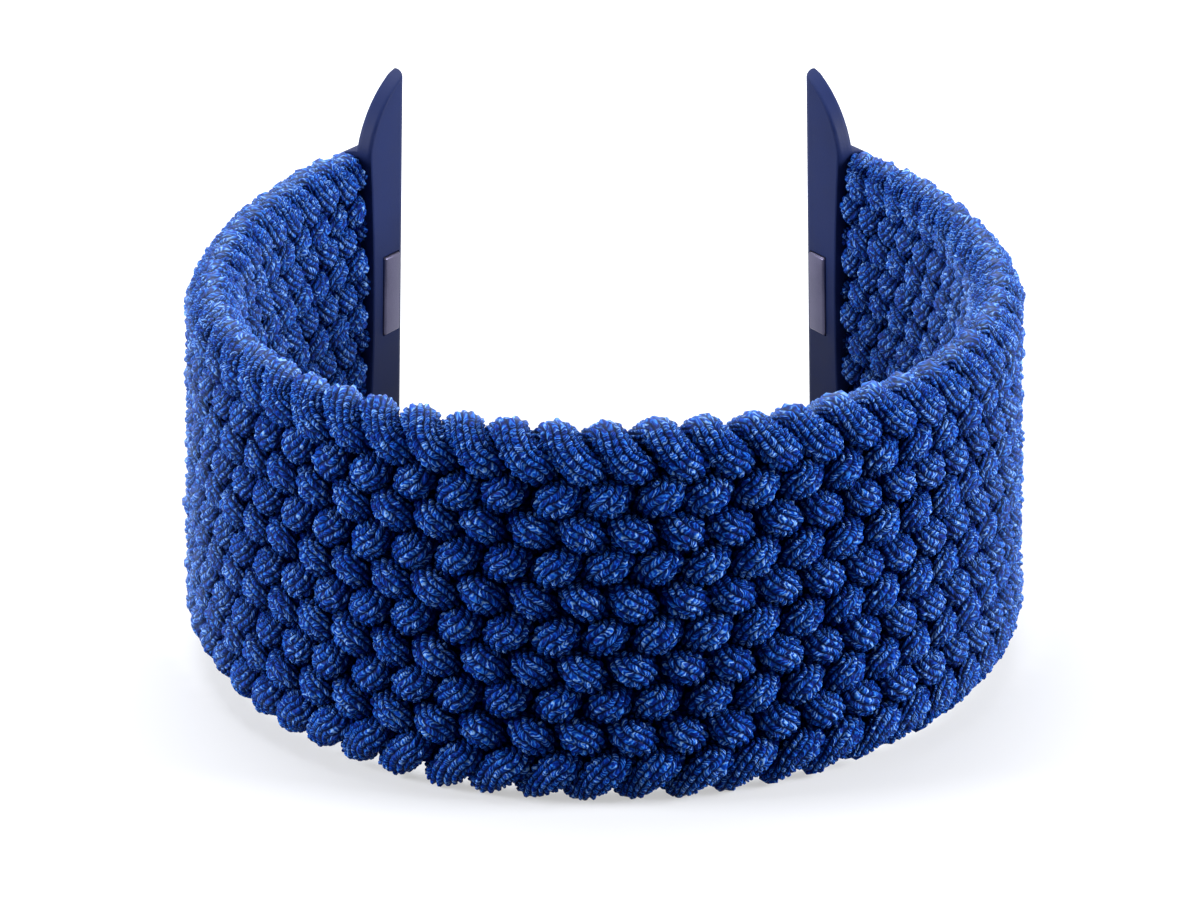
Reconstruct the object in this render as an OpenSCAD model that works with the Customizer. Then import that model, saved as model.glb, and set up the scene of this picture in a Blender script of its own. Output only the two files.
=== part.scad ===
// Loop strap for a watch, in millimetres: a flat elastic braid of eleven nylon cords,
// held at each end by a moulded lug connector that slides into the watch case.
// The strap stands as it does on a table, on its front edge and the tips of both lugs,
// with its front towards -Y. The origin is the middle of its footprint, on the table.

/* [Braid] */
// Distance between neighbouring rows of crossings, across the band
row_gap = 1.62; // [1.58:0.01:2]
// Length of band in which a cord goes over and under once
braid_pitch = 2.12; // [2.06:0.01:2.5]
// Thickness of the braid
braid_t = 2.8; // [2.7:0.05:3.4]
// Place of the first rim loop, from the middle of the front
braid_shift = 0.14; // [0:0.02:0.9]
// Width of a cord at its shoulders
cord_w = 1.14; // [0.8:0.02:1.16]
// Width of a cord's crown, on the face of the band
crown_w = 0.9; // [0.5:0.02:0.92]
// Width of a cord's keel, in the middle of the band
keel_w = 0.2; // [0.1:0.02:0.24]
// Thickness of a cord, from crown to keel
cord_t = 1.16; // [0.9:0.02:1.18]
// Drop from a cord's crown to its shoulders
shoulder_drop = 0.26; // [0.2:0.02:0.5]

/* [Loop] */
// Length of the band's middle line, from one lug's end face to the other's
loop_len = 109.6; // [100:0.2:120]
// Bend radius of the middle line at the front
front_r = 17.4; // [16.5:0.1:20]
// Bend radius halfway to the lugs
side_r = 36.5; // [30:0.5:42]
// Bend radius at the lugs
end_r = 60; // [45:1:120]
// Angle by which the loop widens towards its lower edge, in degrees
flare = 2; // [0:0.1:3]
// Share of its width that the band would lose at the end faces, where the lugs hold it
end_squeeze = 0.08; // [0:0.01:0.1]

/* [Lugs] */
// Length of a lug, across the band
lug_len = 24; // [22.5:0.5:26]
// Thickness of a lug
lug_t = 2.8; // [2.6:0.05:3.2]
// Radius of the long edges that lead a lug into the case
lug_nose_r = 0.7; // [0.4:0.05:0.9]
// Depth of a lug at its middle, from the end face to the braid
lug_mid_d = 3; // [2.8:0.05:3.3]
// Depth of a lug at the edge of the braid
lug_root_d = 3.4; // [3.35:0.05:4]
// Thickness of the ears, which carry on the lug's inner face past the braid
ear_t = 0.95; // [0.9:0.05:1.4]
// Radius of the rounded ears
ear_r = 5.6; // [5:0.1:8]
// Gap between the cut cords and the lug's mouth
mouth_gap = 0.03; // [0.02:0.01:0.1]

/* [Welded tabs] */
// Depth of the tabs that hold the braid in the lug
tab_d = 1.1; // [0.8:0.05:1.2]
// Thickness of the tabs
tab_t = 1.2; // [0.8:0.05:1.4]
// Distance from the middle of the lug to a tab's inner end
tab_from = 3.7; // [3.6:0.1:4.5]
// Distance from the middle of the lug to a tab's outer end
tab_to = 7.4; // [6.8:0.1:7.6]
// Bonding gap all round a tab
tab_gap = 0.03; // [0.02:0.01:0.08]

/* [Latch] */
// Length of the latch, across the band
latch_len = 4.4; // [4:0.1:5]
// Width of the latch, along the band
latch_w = 1.4; // [1.2:0.02:1.5]
// Distance from the lug's end face to the latch
latch_from = 0.7; // [0.6:0.02:0.76]
// Height of the latch
latch_h = 1.75; // [1.7:0.05:1.85]
// How far the latch stands out of the lug's inner face
latch_proud = 0.15; // [0.1:0.05:0.3]
// How far the latch goes in when it is pressed
latch_travel = 0.4; // [0.3:0.05:0.5]
// Running gap round the latch
latch_gap = 0.04; // [0.03:0.01:0.06]
// Diameter of the pin that keeps the latch in
pin_d = 0.5; // [0.4:0.02:0.54]
// Length of the pin
pin_len = 6.2; // [5.8:0.1:6.8]
// Gap between the pin and its holes in the lug
pin_fit = 0.01; // [0.005:0.005:0.02]
// Thickness of the latch's bow spring
spring_t = 0.12; // [0.1:0.01:0.14]
// Width of the bow spring
spring_w = 1; // [0.6:0.05:1.2]
// Length of the bow spring
spring_len = 4; // [3.4:0.1:4.2]
// Height of the bow spring at rest, over all
spring_h = 0.7; // [0.65:0.05:0.8]

/* [Hidden] */
$fn = 96;
cord_n = 11;
cord_names = [for (k = [0:cord_n - 1]) str("cord_", k < 9 ? "0" : "", k + 1)];

// How far a cut or a joined shape runs past the face that it ends on
past = 1;
half_len = loop_len / 2;
half_pitch = braid_pitch / 2;
// A rim loop turns over this much of a row, so that it is round and not a corner
rim_round = 0.45;
rim_w = row_gap * (cord_n / 2 - rim_round) + cord_w / 2;
top_row_w = row_gap * (cord_n / 2 - 1);

// The middle line's curvature is a smooth function of the place along it. q is the square
// of the share of the way from the front to a lug, and the three named radii are met at
// q = 0, 1/2 and 1.
curve_0 = 1 / front_r;
curve_2 = 4 / side_r - 3 / front_r - 1 / end_r;
curve_4 = 2 / front_r + 2 / end_r - 4 / side_r;

// Direction of the middle line at distance s from the front, in degrees from +X
function heading(s) =
    let (u = s / half_len)
    half_len * (curve_0 * u + curve_2 * pow(u, 3) / 3 + curve_4 * pow(u, 5) / 5) * 180 / PI;

// Point of the middle line at distance s from the front, summed in equal steps
plan_steps = 48;
ones = [for (i = [1:plan_steps]) 1];
function plan(s) =
    let (step = s / plan_steps)
    step * (ones * [for (i = [1:plan_steps])
        let (a = heading((i - 0.5) * step)) [cos(a), sin(a), 0]]);

// Share of its width that the band has at distance s from the front
function held(s) = 1 - end_squeeze * pow(s / half_len, 6);

function along(s) = [cos(heading(s)), sin(heading(s)), 0];
function outward(s) = [sin(heading(s)), -cos(heading(s)), 0];

// A cord's place in the braid is counted in half pitches from a turn at the upper rim.
// It crosses to the lower rim in cord_n steps and back in as many. floor() takes away
// the whole turns, so that the count is right on both sides of the front.
function place(i, k) = (i + 2 * k) - 2 * cord_n * floor((i + 2 * k) / (2 * cord_n));

// Height of a cord above the middle of the band, at place u
function lane(u) =
    let (v = abs(u - 2 * cord_n * round(u / (2 * cord_n))))
    v < cord_n / 2
        ? row_gap * (cord_n / 2 - norm([v, rim_round]))
        : -row_gap * (cord_n / 2 - norm([cord_n - v, rim_round]));

// 1 where a cord lies over its neighbour, -1 where it lies under, 0 where it turns at a rim
function level(u) = let (m = u % cord_n) m == 0 ? 0 : m % 2 == 1 ? 1 : -1;

// Outline of a cord that lies over, as [sideways, outwards]: shoulders, crown and keel
crown = braid_t / 2;
shoulder = crown - shoulder_drop;
keel = crown - cord_t;
over = [[cord_w / 2, shoulder], [crown_w / 2, crown], [-crown_w / 2, crown],
    [-cord_w / 2, shoulder], [-keel_w / 2, keel], [keel_w / 2, keel]];
under = [for (j = [0, 5, 4, 3, 2, 1]) [over[j].x, -over[j].y]];
function outline(lev) = (1 + lev) / 2 * over + (1 - lev) / 2 * under;

// The six corners of a cord's section at step i, on the bent and flared band
function ring(i, k) =
    let (
        s = i * half_pitch + braid_shift,
        u = place(i, k),
        side = atan2(lane(u + 0.5) - lane(u - 0.5), half_pitch),
        at = plan(s), t = along(s), n = outward(s))
    [for (p = outline(level(u)))
        let (w = held(s) * (lane(u) + p.x * cos(side)))
        at - t * p.x * sin(side) + n * (p.y - w * tan(flare)) + [0, 0, w]];

// A closed tube through rings of six corners
module tube(rings) {
    c = len(rings[0]);
    last = (len(rings) - 1) * c;
    polyhedron(
        points = [for (r = rings, p = r) p],
        faces = concat(
            [[for (j = [0:c - 1]) j]],
            [for (i = [0:len(rings) - 2], j = [0:c - 1])
                let (a = i * c + j, b = i * c + (j + 1) % c) each [[a, a + c, b + c], [a, b + c, b]]],
            [[for (j = [c - 1:-1:0]) last + j]]));
}

// The braid's half width where it enters a lug, and the place of the ears' outer faces. A
// lug is round-shouldered beside the ears: the shoulder's arc starts square to the ear and
// ends at the lug's outer face, so its radius is the step between them and a little more.
end_w = rim_w * held(half_len - lug_root_d);
ear_y = ear_t - lug_t / 2;
shoulder_over = 0.05;
shoulder_r = (1 + shoulder_over) * (lug_t - ear_t);
shoulder_z = end_w - shoulder_r;

// A lug's own frame: x into the band from the end face, y outwards, z up the lug.
end_place = plan(half_len);
end_turn = heading(half_len) + 180;
module at_right() { translate(end_place) rotate([0, 0, end_turn]) rotate([flare, 0, 0]) children(); }
module at_left() { mirror([1, 0, 0]) at_right() children(); }

// Where a point of a lug's frame lies before the strap is laid down to rest
function lug_point(p) =
    let (y = p.y * cos(flare) - p.z * sin(flare), z = p.y * sin(flare) + p.z * cos(flare))
    end_place - along(half_len) * p.x + outward(half_len) * y + [0, 0, z];

// The lugs are longer than the braid is wide, so the loop rests tilted about X:
// the front rim and the lower tips of the lugs are at one height.
end_flat = lug_t / 2 - lug_nose_r;
front_foot = [0, -rim_w * tan(flare), -rim_w];
lug_foot = lug_point([0, -end_flat, -lug_len / 2]);
rest_tilt = atan((front_foot.z - lug_foot.z) / (lug_foot.y - front_foot.y));
function tilted_y(p) = p.y * cos(rest_tilt) - p.z * sin(rest_tilt);
function tilted_z(p) = p.y * sin(rest_tilt) + p.z * cos(rest_tilt);
front_most = tilted_y([0, top_row_w * tan(flare) - crown, top_row_w]);
rear_most = tilted_y(lug_point([0, end_flat, -end_w]));
module rest() {
    translate([0, -(front_most + rear_most) / 2, -tilted_z(front_foot)])
        rotate([rest_tilt, 0, 0]) children();
}

// The mouth of a lug is an arc that meets lug_mid_d at the middle and lug_root_d at the rims
mouth_rise = lug_root_d - lug_mid_d;
mouth_r = (end_w * end_w + mouth_rise * mouth_rise) / (2 * mouth_rise);
mouth_x = lug_mid_d + mouth_r;
// The arc is a short piece of a wide circle, which takes many steps to be as fine as the rest
mouth_steps = 12 * $fn;
module mouth_disc(r, h) {
    translate([mouth_x, 0, 0]) rotate([90, 0, 0])
        cylinder(r = r, h = h, center = true, $fn = mouth_steps);
}

// Everything on the lug's side of its mouth, which the cords are cut back from. Before the
// cut, no cord runs further than overrun past the lug's end face.
overrun = cord_w + 2 * braid_shift + braid_pitch;
module beyond_mouth() {
    difference() {
        translate([-overrun, -lug_t, -lug_len / 2])
            cube([overrun + lug_root_d + past, 2 * lug_t, lug_len]);
        mouth_disc(mouth_r - mouth_gap, 3 * lug_t);
    }
}

module cord(k) {
    reach = ceil((half_len - lug_mid_d + cord_w + braid_shift) / half_pitch);
    color("royalblue") rest() difference() {
        tube([for (i = [-reach:reach]) ring(i, k)]);
        at_left() beyond_mouth();
        at_right() beyond_mouth();
    }
}

// Section of a lug across its length, with rounded leading edges; it runs on past the root
module lug_section() {
    translate([lug_nose_r, -lug_t / 2]) square([lug_root_d, lug_t]);
    translate([0, -end_flat]) square([lug_root_d, 2 * end_flat]);
    for (y = [-end_flat, end_flat]) translate([lug_nose_r, y]) circle(lug_nose_r);
}

// Centre of the arc from the tip of an ear to its root, with its bulge outwards
ear_tip = [0, lug_len / 2];
ear_root = [lug_root_d, end_w];
ear_chord = norm(ear_tip - ear_root);
ear_out = [ear_tip.y - ear_root.y, ear_root.x] / ear_chord;
ear_centre = (ear_tip + ear_root) / 2 - ear_out * sqrt(ear_r * ear_r - ear_chord * ear_chord / 4);
module lug_outline() {
    translate([0, -end_w]) square([lug_root_d, 2 * end_w]);
    for (up = [0, 1]) mirror([0, up]) intersection() {
        translate(ear_centre) circle(ear_r);
        translate([0, end_w - past]) square([lug_root_d, lug_len / 2]);
    }
}

// What is cut off outside of both ears, down to the round shoulders
module beside_ears() {
    for (up = [0, 1]) mirror([0, 0, up]) translate([0, ear_y, shoulder_z]) difference() {
        translate([-past, 0, 0]) cube([lug_root_d + 2 * past, lug_t, lug_len / 2]);
        rotate([0, 90, 0]) cylinder(r = shoulder_r, h = 4 * lug_root_d, center = true);
    }
}

// The two welded tabs, which lie in slots of the lug's mouth; grow widens them into the slots
module tab_shape(grow) {
    for (up = [0, 1]) mirror([0, 0, up]) intersection() {
        difference() {
            mouth_disc(mouth_r + tab_d + grow, tab_t + 2 * grow);
            mouth_disc(mouth_r - grow, 2 * tab_t);
        }
        translate([0, -tab_t, tab_from - grow])
            cube([lug_root_d, 2 * tab_t, tab_to - tab_from + 2 * grow]);
    }
}

// The latch stands proud of the inner face and is pressed outwards, against its spring
latch_in = -lug_t / 2 - latch_proud;
latch_out = latch_in + latch_h;
chamber = latch_out + spring_h;
pin_x = latch_from + latch_w / 2;
pin_y = latch_in + latch_h / 2 + latch_travel / 2;
slot_r = pin_d / 2 + latch_gap;

module lug() {
    color("midnightblue") difference() {
        intersection() {
            linear_extrude(height = 2 * lug_len, center = true) lug_section();
            rotate([90, 0, 0]) linear_extrude(height = 2 * lug_t, center = true) lug_outline();
        }
        beside_ears();
        mouth_disc(mouth_r, 2 * lug_t);
        tab_shape(tab_gap);
        translate([latch_from - latch_gap, -lug_t, -latch_len / 2 - latch_gap])
            cube([latch_w + 2 * latch_gap, lug_t + chamber, latch_len + 2 * latch_gap]);
        translate([pin_x, pin_y, 0])
            cylinder(d = pin_d + 2 * pin_fit, h = pin_len + 2 * pin_fit, center = true);
    }
}

module tabs() { color("navy") tab_shape(0); }

// The latch has an upright slot for the pin, as long as its travel
module latch() {
    color("silver") difference() {
        translate([latch_from, latch_in, -latch_len / 2]) cube([latch_w, latch_h, latch_len]);
        for (y = [pin_y - latch_travel, pin_y])
            translate([pin_x, y, 0]) cylinder(r = slot_r, h = 2 * latch_len, center = true);
        translate([pin_x - slot_r, pin_y - latch_travel, -latch_len])
            cube([2 * slot_r, latch_travel, 2 * latch_len]);
    }
}

module latch_pin() {
    color("silver") translate([pin_x, pin_y, 0]) cylinder(d = pin_d, h = pin_len, center = true);
}

// A strip bent to an arc: its middle bears on the latch and its ends on the chamber's floor
spring_play = 0.02;
spring_rise = spring_h - spring_t - 2 * spring_play;
spring_r = (spring_len * spring_len / 4 + spring_rise * spring_rise) / (2 * spring_rise);
module latch_spring() {
    color("lightsteelblue") intersection() {
        translate([pin_x, latch_out + spring_play + spring_r + spring_t, 0])
            rotate([0, 90, 0]) difference() {
                cylinder(r = spring_r + spring_t, h = spring_w, center = true);
                cylinder(r = spring_r, h = 2 * spring_w, center = true);
            }
        translate([0, latch_out, -spring_len / 2]) cube([2 * pin_x, spring_h - spring_play, spring_len]);
    }
}

for (k = [0:cord_n - 1]) cord(k);
rest() at_left() lug();  // left_lug
rest() at_left() tabs();  // left_tabs
rest() at_left() latch();  // left_latch
rest() at_left() latch_pin();  // left_latch_pin
rest() at_left() latch_spring();  // left_latch_spring
rest() at_right() lug();  // right_lug
rest() at_right() tabs();  // right_tabs
rest() at_right() latch();  // right_latch
rest() at_right() latch_pin();  // right_latch_pin
rest() at_right() latch_spring();  // right_latch_spring
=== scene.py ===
# %% [markdown]
# # A braided loop strap for a wrist watch
# The real strap is a flat elastic braid of eleven round nylon cords. Each end is melted
# together and bonded into a moulded plastic lug that slides into the side of the watch
# case. The lesson builds three things: the cords, as one long surface each, then the
# lugs and their small sprung latches, and last the light and the camera.
#
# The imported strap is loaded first. It is a fixed frame: every new piece goes where a solid
# of the frame is, and none of the frame's solids is moved.

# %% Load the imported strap
from math import asin, atan, cos, pi, radians, sin, tan

import bpy
import numpy as np
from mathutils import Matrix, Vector


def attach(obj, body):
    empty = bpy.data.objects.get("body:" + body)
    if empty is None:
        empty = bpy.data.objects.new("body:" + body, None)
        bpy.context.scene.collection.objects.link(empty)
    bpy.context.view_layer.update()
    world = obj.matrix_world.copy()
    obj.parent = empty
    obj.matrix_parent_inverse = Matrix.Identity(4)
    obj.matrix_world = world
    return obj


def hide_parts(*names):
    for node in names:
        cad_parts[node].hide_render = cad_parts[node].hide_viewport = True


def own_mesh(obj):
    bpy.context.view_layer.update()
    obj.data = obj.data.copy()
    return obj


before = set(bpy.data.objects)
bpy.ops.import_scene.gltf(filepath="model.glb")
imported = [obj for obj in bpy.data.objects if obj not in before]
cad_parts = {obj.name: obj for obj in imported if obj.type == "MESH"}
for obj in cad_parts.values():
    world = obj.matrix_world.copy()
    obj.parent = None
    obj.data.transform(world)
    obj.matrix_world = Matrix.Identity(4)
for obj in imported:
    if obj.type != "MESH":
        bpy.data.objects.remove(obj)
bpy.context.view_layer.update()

# %% [markdown]
# ## The sizes
# Everything below is worked out in millimetres from these few sizes, which are the driving
# sizes of the solid strap. Only the step that writes a mesh turns them into metres.

# %% Driving sizes, in millimetres
MM = 0.001
CORDS = 11
ROW_GAP = 1.62  # between neighbouring rows of crossings, across the band
PITCH = 2.12  # of band in which a cord goes over and under once
BAND_T = 2.8  # thickness of the braid
FIRST_TURN = 0.14  # place of the first rim loop, from the middle of the front
LOOP_LEN = 109.6  # of the middle line, from end face to end face
FRONT_R, SIDE_R, END_R = 17.4, 36.5, 60  # bend radii at the front, halfway and at the lugs
FLARE = radians(2)  # by which the loop widens towards its lower edge
SQUEEZE = 0.08  # share of its width that the band would lose at the end faces
LUG_LEN, LUG_T = 24.0, 2.8
NOSE_R = 0.7  # of the long edges that lead a lug into the case
MID_D, ROOT_D = 3.0, 3.4  # depth of a lug at its middle and at the edge of the braid
EAR_T, EAR_R = 0.95, 5.6  # thickness of the ears, radius of the arc that ends them
LATCH_LEN, LATCH_W, LATCH_H = 4.4, 1.4, 1.75
LATCH_FROM = 0.7  # from the end face to the latch
LATCH_PROUD, LATCH_GAP, LATCH_TRAVEL = 0.15, 0.04, 0.4
SPRING_T, SPRING_W, SPRING_LEN, SPRING_H = 0.12, 1.0, 4.0, 0.7

half_len = LOOP_LEN / 2
crown = BAND_T / 2
rim_w = 8.751  # half the width of the solid braid


def held(s):
    """Share of its width that the band has at distance s from the front: 1 less SQUEEZE
    times the sixth power of s / half_len, so that it narrows only near the lugs."""
    return 1 - SQUEEZE * (s / half_len) ** 6


end_w = rim_w * held(half_len - ROOT_D)
end_flat = LUG_T / 2 - NOSE_R
mouth_rise = ROOT_D - MID_D
mouth_r = (end_w**2 + mouth_rise**2) / (2 * mouth_rise)
mouth_x = MID_D + mouth_r

# %% [markdown]
# ## The loop's middle line
# A strap that stands on a table is not a circle: it is bent most at the front and least at
# the lugs. Its curvature is a smooth function of the way along it, so the direction is the
# integral of the curvature, and the line itself is the integral of the direction. Working
# this way keeps the line's length right, which a spline through drawn points would not.

# %% Middle line of the loop
LINE_OVERRUN = 1.05  # the line is worked out to a little past the end faces
LINE_POINTS = 8001
bend = np.array([
    1 / FRONT_R,
    4 / SIDE_R - 3 / FRONT_R - 1 / END_R,
    2 / FRONT_R + 2 / END_R - 4 / SIDE_R])


def heading(s):
    """Direction of the middle line at distance s from the front, in radians from +X: the
    integral of a curvature that is a quadratic in the square of s / half_len."""
    u = s / half_len
    return half_len * (bend[0] * u + bend[1] * u**3 / 3 + bend[2] * u**5 / 5)


line_s = np.linspace(-LINE_OVERRUN * half_len, LINE_OVERRUN * half_len, LINE_POINTS)
line_step = line_s[1] - line_s[0]
middle = line_s[:-1] + line_step / 2
line_x = np.concatenate([[0], np.cumsum(np.cos(heading(middle))) * line_step])
line_y = np.concatenate([[0], np.cumsum(np.sin(heading(middle))) * line_step])
line_x -= np.interp(0, line_s, line_x)
line_y -= np.interp(0, line_s, line_y)


def plan(s):
    """Points of the middle line at distances s from the front."""
    return np.stack([np.interp(s, line_s, line_x), np.interp(s, line_s, line_y), 0 * s], -1)


def outward(s):
    """Unit directions away from the wrist, square to the middle line."""
    return np.stack([np.sin(heading(s)), -np.cos(heading(s)), 0 * s], -1)


end_at = plan(np.array(half_len))
end_turn = heading(half_len) + pi
print("a lug's end face is at", end_at.round(2), "and faces", round(np.degrees(end_turn), 1))

# %% [markdown]
# ## From the band to the table
# The lugs are longer than the braid is wide, so the strap rests on its front edge and on
# the tips of both lugs, a few degrees out of upright. A point goes from a lug's own frame
# to the upright band, and from there to the table, by plain turns and shifts.

# %% Placing points


def turn(points, axis, angle):
    """Points turned about a main axis: 0 for x, 1 for y, 2 for z."""
    one, two = [(1, 2), (2, 0), (0, 1)][axis]
    out = np.array(points, float)
    out[..., one] = points[..., one] * cos(angle) - points[..., two] * sin(angle)
    out[..., two] = points[..., one] * sin(angle) + points[..., two] * cos(angle)
    return out


def lug_to_band(points, side):
    """A lug's frame has x into the band, y outwards and z up. side is 1 for the right lug
    and -1 for the left one, which is its mirror image."""
    out = turn(turn(points, 0, FLARE), 2, end_turn) + end_at
    return out * [side, 1, 1]


def band_to_lug(points, side):
    """The way back from the upright band to a lug's frame."""
    return turn(turn(points * [side, 1, 1] - end_at, 2, -end_turn), 0, -FLARE)


top_row_w = ROW_GAP * (CORDS / 2 - 1)
front_foot = np.array([0, -rim_w * tan(FLARE), -rim_w])
lug_foot = lug_to_band(np.array([0, -end_flat, -LUG_LEN / 2]), 1)
rest_tilt = atan((front_foot[2] - lug_foot[2]) / (lug_foot[1] - front_foot[1]))
front_most = turn(np.array([0, top_row_w * tan(FLARE) - crown, top_row_w]), 0, rest_tilt)[1]
rear_most = turn(lug_to_band(np.array([0, end_flat, -end_w]), 1), 0, rest_tilt)[1]
rest_shift = np.array([0, -(front_most + rear_most) / 2, -turn(front_foot, 0, rest_tilt)[2]])


def to_table(points):
    """Tilts the upright band about x and sets it on the table."""
    return turn(points, 0, rest_tilt) + rest_shift


print("the strap leans", round(np.degrees(rest_tilt), 2), "degrees and is moved by",
      rest_shift.round(3))

# %% [markdown]
# ## Writing a mesh
# A surface here is always a grid of points: rings across and stations along. The helpers
# join such a grid into faces and hand the arrays to Blender in one go, with no loop over
# vertices. A closed grid is capped with a fan at each end, so that every piece is a solid.

# %% Mesh helpers


def make_piece(name, points, faces, body):
    """A new smooth-shaded object at the origin, from points in mm and arrays of faces."""
    mesh = bpy.data.meshes.new(name)
    mesh.vertices.add(len(points))
    mesh.vertices.foreach_set("co", (points * MM).astype(np.float32).ravel())
    corners = np.concatenate([f.ravel() for f in faces])
    sizes = np.concatenate([np.full(len(f), f.shape[1]) for f in faces])
    mesh.loops.add(len(corners))
    mesh.loops.foreach_set("vertex_index", corners.astype(np.int32))
    mesh.polygons.add(len(sizes))
    starts = np.concatenate([[0], np.cumsum(sizes)[:-1]])
    mesh.polygons.foreach_set("loop_start", starts.astype(np.int32))
    mesh.update(calc_edges=True)
    mesh.validate()
    mesh.shade_smooth()
    piece = bpy.data.objects.new(name, mesh)
    bpy.context.scene.collection.objects.link(piece)
    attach(piece, body)
    return piece


def tube_faces(rings, around):
    """Quads of a closed tube of rings, each of so many points, and a fan of triangles at
    each end round an added middle point. Faces point outwards where the points of a ring
    run clockwise seen along the tube."""
    ring = np.arange(rings - 1)[:, None] * around
    a = ring + np.arange(around)
    b = ring + (np.arange(around) + 1) % around
    quads = np.stack([a, a + around, b + around, b], -1).reshape(-1, 4)
    one = np.arange(around)
    two = (one + 1) % around
    first, last, end = rings * around, rings * around + 1, (rings - 1) * around
    fans = np.concatenate([
        np.stack([np.full(around, first), one, two], -1),
        np.stack([np.full(around, last), end + two, end + one], -1)])
    return [quads, fans]


def with_ends(grid):
    """The points of a grid of rings, followed by the middle of its first and last ring."""
    flat = grid.reshape(-1, 3)
    return np.concatenate([flat, grid[:1].mean(1), grid[-1:].mean(1)])


# %% [markdown]
# ## The way of a cord through the braid
# A flat braid of an odd number of cords is one path, repeated. A cord crosses from rim to
# rim in eleven steps and goes over and under in turn, then it turns over the rim and comes
# back. The path is counted in half pitches from a turn at the upper rim. Its height across
# the band is a soft zigzag, and its height out of the band is a cosine of a phase that runs
# at half speed round each rim, because a turn takes two steps.

# %% Path of a cord
RIM_SOFT = 0.9  # how many steps a turn at a rim is rounded over
CORD_T = 1.40  # thickness of a cord where it crosses another, over its nubs
SWING_MORE = 0.02  # makes up for the nubs, few of which are full
SWING = crown - CORD_T / 2 + SWING_MORE  # how far a cord's middle swings out of the band's
SKEW = 0.42  # share by which a cord climbs less and runs along more on a face of the band
WOBBLE = 0.045  # how far a cord strays from its place
UNBLURRED = 0.01  # a blur's width, in samples, that leaves noise as it is


def lane(u):
    """Height of a cord across the band at place u: half the difference of its distances
    from the lower and the upper turn, each rounded as a hyperbola."""
    v = np.abs(u - 2 * CORDS * np.round(u / (2 * CORDS)))
    return ROW_GAP / 2 * (np.hypot(CORDS - v, RIM_SOFT) - np.hypot(v, RIM_SOFT))


def phase(u):
    """Phase of the over and under at place u, in half turns, and the angle of the cord's
    free side from the band's plane: square out of it, except round a rim. The phase gains
    one in each step, but only one in the two steps of a turn. It begins at an odd number,
    which takes a cord from the inner face over the upper rim to the outer face."""
    u = (u + 1) % (2 * CORDS) - 1
    at = np.array([-1, 1, CORDS - 1, CORDS + 1, 2 * CORDS - 1])
    gained = np.array([0, 1, CORDS - 1, CORDS, 2 * CORDS - 2])
    turns = np.interp(u, at, CORDS - 2 + gained)
    upper = np.sin(pi / 2 * np.clip(u, -1, 1))
    lower = np.sin(pi / 2 * np.clip(u - CORDS, -1, 1))
    return turns, pi / 2 * np.where(u < CORDS / 2, upper, -lower)


def smooth_noise(rng, shape, widths):
    """White noise blurred by a Gaussian of the given widths in samples, periodic, with a
    standard deviation of 1. A wave that repeats w times in a sample is multiplied by e to
    the power of minus twice the square of pi * w * width."""
    noise = rng.standard_normal(shape)
    for axis, width in enumerate(widths):
        wave = np.fft.fftfreq(shape[axis])
        gain = np.exp(-2 * (pi * wave * width) ** 2)
        side = [1] * len(shape)
        side[axis] = -1
        noise = np.fft.ifft(np.fft.fft(noise, axis=axis) * gain.reshape(side), axis=axis).real
    return noise / noise.std()


# %% [markdown]
# ## The sheath of a cord
# Each cord is an elastic core in a fine braided sheath, so its surface is an array of small
# nubs, fourteen round and one every third of a millimetre along, laid a little like bricks.
# No two nubs are equally full, which keeps the sheath from looking machined. The grid has
# just enough points to show a nub at the outline, one in the valley and two on the nub each
# way. A bump texture alone would be flat at the outline, so the nubs are real geometry, and
# the material only rounds them off.

# %% Surface of a cord
SEED = 100  # the random draws of cord k begin from SEED + k
HALF_STEPS, STEP = 56, 0.05  # reach and spacing of a cord's middle line, in half pitches
WOBBLE_BLUR = 14  # points of the middle line over which a stray is spread
WOBBLE_OUT = 0.7  # share of a stray that counts out of the band
NUBS_ROUND = 14
NUB_LEN = 0.335
PER_NUB = 3  # points to a nub, round and along
NUB_RISE = 0.17  # height of a full nub over the valley beside it
NUB_POWER = 2.4  # the higher, the flatter a nub is on top
LEAST_NUB, MOST_NUB = 0.55, 1.15  # how full nubs are
LUMP, LUMP_BLUR = 0.018, (7, 5)  # height of broad lumps, and their spread in points
SWAY, SWAY_BLUR = 0.11, 2.2  # nubs by which points are out of line, and the spread of that
CORD_W = 0.91  # half width of a cord, over its nubs
INTO_LUG, TUCK = 0.3, 0.4  # how far a cord runs on into a lug and what share it loses there
PINCH_FROM, PINCH = 1.3, 0.16  # length beside a lug where cords thin out, and by what share
TWIST = 0.12  # radians by which the sheath turns in a millimetre
RIM_ZONE = 1.5  # from the braid's rims inwards, where cords lie open to the side too
RIM_WEIGHT = 2  # how much more a rim counts than a face in how openly a cord lies
around = NUBS_ROUND * PER_NUB


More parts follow.
